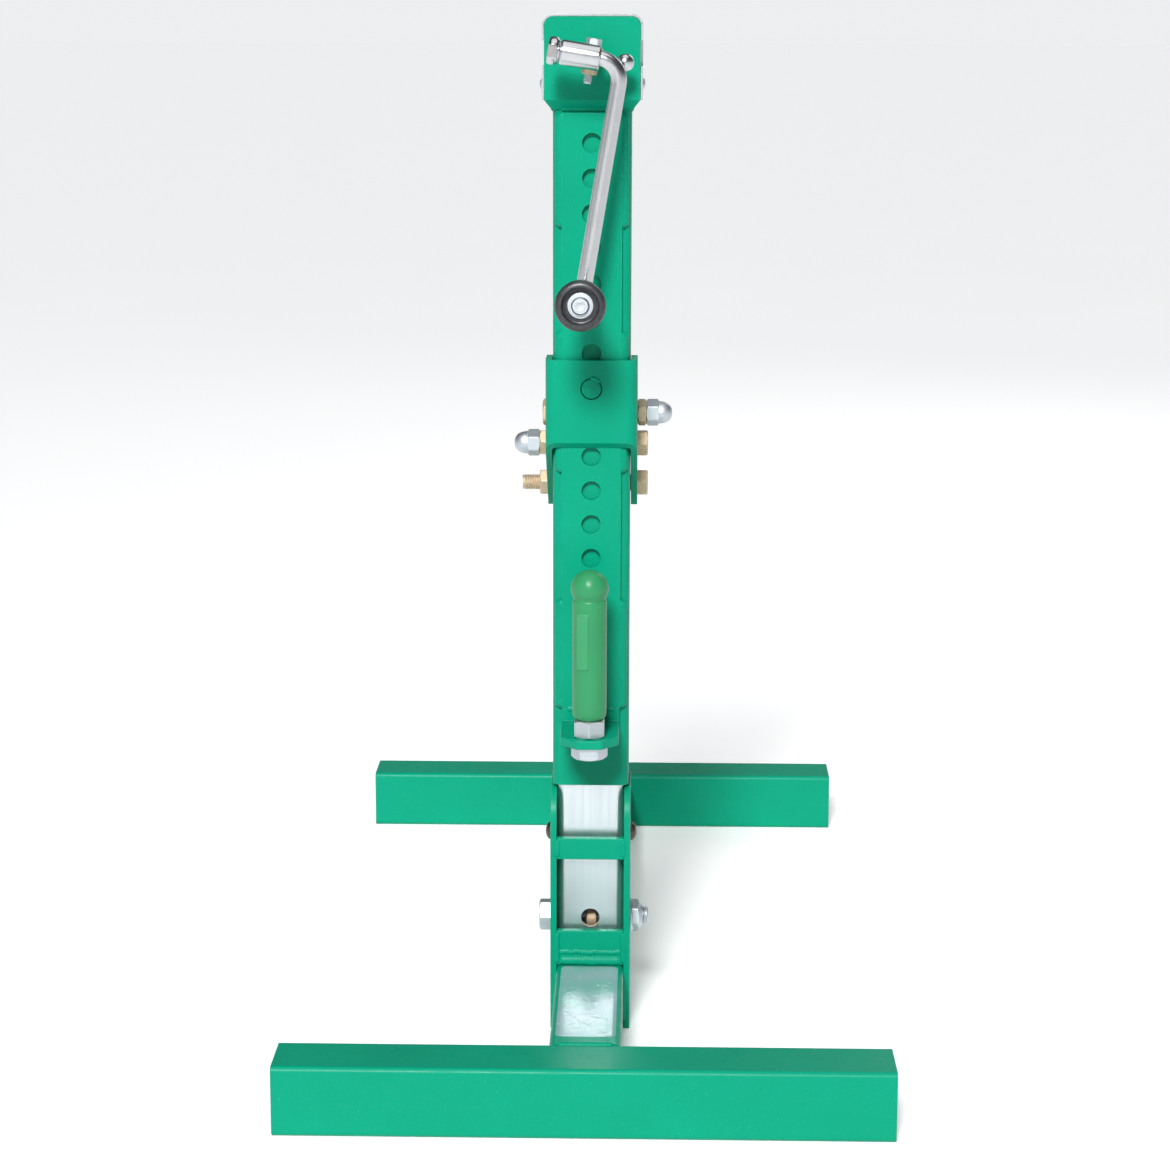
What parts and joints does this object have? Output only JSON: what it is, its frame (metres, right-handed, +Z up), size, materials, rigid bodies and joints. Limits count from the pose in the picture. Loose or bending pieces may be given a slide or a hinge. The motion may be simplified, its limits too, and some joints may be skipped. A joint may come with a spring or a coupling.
{
  "type": "conduit bender support stand",
  "caption": "Crank-raised stand on an H base of square tube, with a telescoping square mast, a side crank, a pull handle and a sliding carriage that hangs from a row of holes.",
  "frame": {"origin": "on the floor, under the middle of the base", "axes": "+Z up, the crank and the grip face -Y, +X to the right seen from the crank"},
  "size_m": [0.432, 0.813, 0.7615],
  "materials": {
    "green_paint": "gloss",
    "bright_zinc": "satin",
    "yellow_zinc": "satin",
    "polished_steel": "polished",
    "dark_steel": "satin",
    "plain_steel": "oiled",
    "bronze": "satin",
    "green_plastic": "gloss",
    "black_plastic": "satin",
    "label_film": "gloss"
  },
  "bodies": {
    "base": {"base_beam": "green_paint", "front_crossbar": "green_paint", "rear_crossbar": "green_paint", "beam_label": "label_film", "yoke_plate_left": "green_paint", "yoke_plate_right": "green_paint", "yoke_strap_upper": "green_paint", "yoke_strap_lower": "green_paint", "inner_tube": "bright_zinc", "pivot_bolt": "bright_zinc", "pivot_lock_nut": "bright_zinc", "pivot_ring": "yellow_zinc", "upper_pin": "dark_steel", "lead_nut": "bronze"},
    "mast": {"outer_tube": "green_paint", "perforated_strip": "green_paint", "head_housing": "green_paint", "head_cover": "bright_zinc", "head_rivets": "bright_zinc", "bearing_plate": "plain_steel", "thrust_bearing": "plain_steel", "shaft_bush_front": "bronze", "shaft_bush_rear": "bronze", "grip_bracket": "green_paint", "grip_bolt": "bright_zinc", "grip_nut": "bright_zinc", "grip_handle": "green_plastic", "grip_panel": "green_plastic"},
    "screw": {"lead_screw": "plain_steel", "screw_gear": "plain_steel"},
    "crank": {"crank_shaft": "polished_steel", "shaft_pinion": "plain_steel", "crank_collar": "polished_steel", "collar_bolt": "bright_zinc", "collar_nut": "yellow_zinc", "ball_stub": "polished_steel"},
    "crank_arm": {"crank_rod": "polished_steel", "rod_head": "polished_steel", "knob_axle": "bright_zinc"},
    "crank_knob": {"knob": "black_plastic"},
    "carriage": {"carriage_sleeve": "green_paint", "lock_tooth": "green_paint", "cross_bolt_top": "yellow_zinc", "cross_bolt_middle": "yellow_zinc", "cross_bolt_bottom": "yellow_zinc", "carriage_jam_nuts": "yellow_zinc", "acorn_nuts": "bright_zinc", "lug_spacers": "bright_zinc", "hanger_lug": "green_paint"},
    "roller": {"bearing_roller": "plain_steel"}
  },
  "joints": [
    {"name": "mast_lift", "type": "slide", "parent": "base", "child": "mast", "axis": [0, 0, 1], "range_m": [0, 0.3]},
    {"name": "crank_turn", "type": "hinge", "parent": "mast", "child": "crank", "pos_m": [0, -0.1495, 0.732], "axis": [0, 1, 0], "range_deg": [0, 21259.8]},
    {"name": "screw_turn", "type": "hinge", "parent": "mast", "child": "screw", "pos_m": [0, -0.1495, 0.6], "axis": [0, 0, 1], "range_deg": [-21259.8, 0]},
    {"name": "crank_fold", "type": "hinge", "parent": "crank", "child": "crank_arm", "pos_m": [0, -0.22307, 0.732], "axis": [-0.9863, 0, 0.165], "range_deg": [0, 180]},
    {"name": "knob_spin", "type": "hinge", "parent": "crank_arm", "child": "crank_knob", "pos_m": [-0.00603, -0.22307, 0.56267], "axis": [0, 1, 0], "continuous": true},
    {"name": "carriage_slide", "type": "slide", "parent": "mast", "child": "carriage", "axis": [0, 0, 1], "range_m": [-0.1778, 0.1778]},
    {"name": "roller_spin", "type": "hinge", "parent": "carriage", "child": "roller", "pos_m": [0, -0.11042, 0.411], "axis": [1, 0, 0], "continuous": true}
  ],
  "couplings": [
    {"joint": "mast_lift", "follows": "crank_turn", "m_per_rad": 0.00080851},
    {"joint": "screw_turn", "follows": "crank_turn", "ratio": -1}
  ]
}
